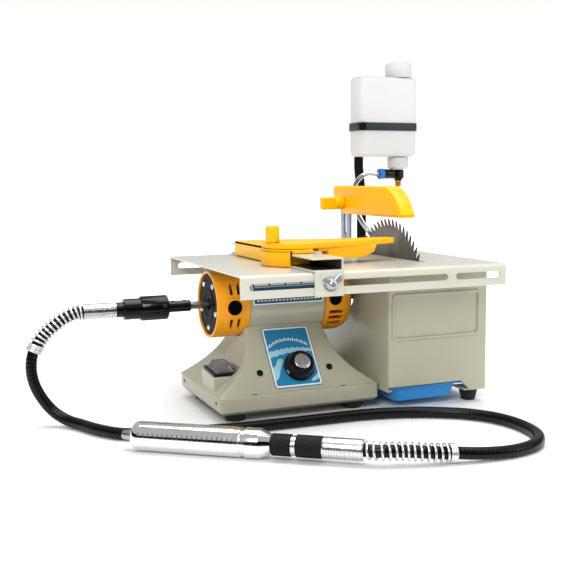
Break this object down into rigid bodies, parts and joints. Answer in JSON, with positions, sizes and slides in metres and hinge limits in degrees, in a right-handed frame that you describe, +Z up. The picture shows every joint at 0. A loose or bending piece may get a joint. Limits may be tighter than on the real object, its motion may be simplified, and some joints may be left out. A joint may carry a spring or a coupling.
{
  "type": "trim saw",
  "caption": "Bench trim saw: motor stand, saw table with tilting blade guard, rip fence and gauge, drip bottle, and a flexible shaft with handpiece.",
  "frame": {"origin": "on the bench surface, under the middle of the machine and its handpiece", "axes": "+Z up, +X along the motor shaft towards the blade, -Y towards the operator"},
  "size_m": [0.489, 0.4013, 0.3795],
  "materials": {
    "cream_paint": "satin enamel",
    "cover_plate": "satin",
    "rubber": "matte",
    "black_plastic": "fine texture",
    "clear_cover": "clear",
    "printed_plate": "printed satin",
    "circuit_board": "board",
    "orange_plastic": "moulded",
    "yellow_plastic": "moulded",
    "blue_plastic": "moulded",
    "bright_steel": "turned",
    "blade_steel": "ground",
    "core_steel": "laminated",
    "copper": "wound",
    "carbon": "carbon",
    "galvanised": "galvanised",
    "bottle_plastic": "translucent",
    "chrome": "polished"
  },
  "bodies": {
    "machine": {"motor_stand": "cream_paint", "motor_housing": "cream_paint", "saw_table": "cream_paint", "saw_box": "cream_paint", "bottom_cover": "cover_plate", "stand_foot_1": "rubber", "stand_foot_2": "rubber", "stand_foot_3": "rubber", "stand_foot_4": "rubber", "box_foot_front": "rubber", "box_foot_rear": "rubber", "flex_sheath": "rubber", "switch_bezel": "black_plastic", "end_plate_left": "black_plastic", "brush_cap_front": "black_plastic", "brush_cap_rear": "black_plastic", "bearing_plug_front": "black_plastic", "coupling_housing": "black_plastic", "bottle_bracket": "black_plastic", "bottle_strap": "black_plastic", "elbow_fitting": "black_plastic", "handpiece_grip": "black_plastic", "switch_boot": "clear_cover", "drip_tube": "clear_cover", "speed_plate": "printed_plate", "motor_nameplate": "printed_plate", "control_board": "circuit_board", "end_cap_left": "orange_plastic", "end_cap_right": "orange_plastic", "bearing_left": "bright_steel", "bearing_right": "bright_steel", "stator_core": "core_steel", "carbon_brush_front": "carbon", "carbon_brush_rear": "carbon", "guard_post": "galvanised", "water_bottle": "bottle_plastic", "spout_cap": "bottle_plastic", "spring_motor_end": "chrome", "spring_hand_end": "chrome", "handpiece_body": "chrome"},
    "spindle": {"motor_shaft": "bright_steel", "armature_core": "copper", "commutator": "copper", "cooling_fan": "black_plastic", "saw_blade": "blade_steel", "arbor_nut": "bright_steel", "drive_adapter": "black_plastic"},
    "knob": {"speed_knob": "black_plastic"},
    "rocker": {"switch_rocker": "black_plastic"},
    "fence": {"rip_fence": "cream_paint"},
    "fence_screw": {"fence_wing_screw": "chrome"},
    "gauge_slide": {"gauge_carriage": "yellow_plastic", "gauge_pivot": "bright_steel"},
    "gauge_swing": {"gauge_arm": "yellow_plastic"},
    "gauge_lock": {"gauge_knob": "yellow_plastic"},
    "guard_mount": {"guard_knob": "yellow_plastic"},
    "guard": {"blade_guard": "yellow_plastic"},
    "tray": {"water_tray": "blue_plastic"},
    "cap": {"fill_cap": "bottle_plastic"},
    "chuck": {"handpiece_chuck": "bright_steel"}
  },
  "joints": [
    {"name": "spindle_spin", "type": "hinge", "parent": "machine", "child": "spindle", "pos_m": [0.03259, 0.0738, 0.1105], "axis": [1, 0, 0], "continuous": true},
    {"name": "speed_dial", "type": "hinge", "parent": "machine", "child": "knob", "pos_m": [0.01859, 0.01595, 0.04776], "axis": [0, -0.7936, 0.6084], "range_deg": [-280, 0]},
    {"name": "switch_rock", "type": "hinge", "parent": "machine", "child": "rocker", "pos_m": [-0.05541, 0.04422, 0.0442], "axis": [1, 0, 0], "range_deg": [0, 12]},
    {"name": "fence_slide", "type": "slide", "parent": "machine", "child": "fence", "axis": [1, 0, 0], "range_m": [-0.06, 0.014]},
    {"name": "fence_screw_turn", "type": "hinge", "parent": "fence", "child": "fence_screw", "pos_m": [0.02159, -0.0532, 0.1415], "axis": [0, 1, 0], "range_deg": [-180, 0]},
    {"name": "gauge_travel", "type": "slide", "parent": "fence", "child": "gauge_slide", "axis": [0, 1, 0], "range_m": [-0.045, 0.02]},
    {"name": "gauge_angle", "type": "hinge", "parent": "gauge_slide", "child": "gauge_swing", "pos_m": [0.01959, 0.0298, 0.173], "axis": [0, 0, 1], "range_deg": [-16, 13]},
    {"name": "gauge_lock_turn", "type": "hinge", "parent": "gauge_slide", "child": "gauge_lock", "pos_m": [-0.00641, 0.0208, 0.18], "axis": [0, 0, 1], "range_deg": [-180, 0]},
    {"name": "guard_height", "type": "slide", "parent": "machine", "child": "guard_mount", "axis": [0, 0, 1], "range_m": [-0.008, 0.006]},
    {"name": "guard_tilt", "type": "hinge", "parent": "guard_mount", "child": "guard", "pos_m": [0.15009, 0.1713, 0.21], "axis": [1, 0, 0], "range_deg": [-25, 0]},
    {"name": "tray_slide", "type": "slide", "parent": "machine", "child": "tray", "axis": [0, 1, 0], "range_m": [0, 0.18]},
    {"name": "fill_cap_lift", "type": "slide", "parent": "machine", "child": "cap", "axis": [0, 0, 1], "range_m": [0, 0.04]},
    {"name": "chuck_spin", "type": "hinge", "parent": "machine", "child": "chuck", "pos_m": [-0.16521, -0.0413, 0.0133], "axis": [0.8049, -0.5934, 0], "continuous": true}
  ],
  "couplings": [
    {"joint": "chuck_spin", "follows": "spindle_spin", "ratio": 1}
  ]
}
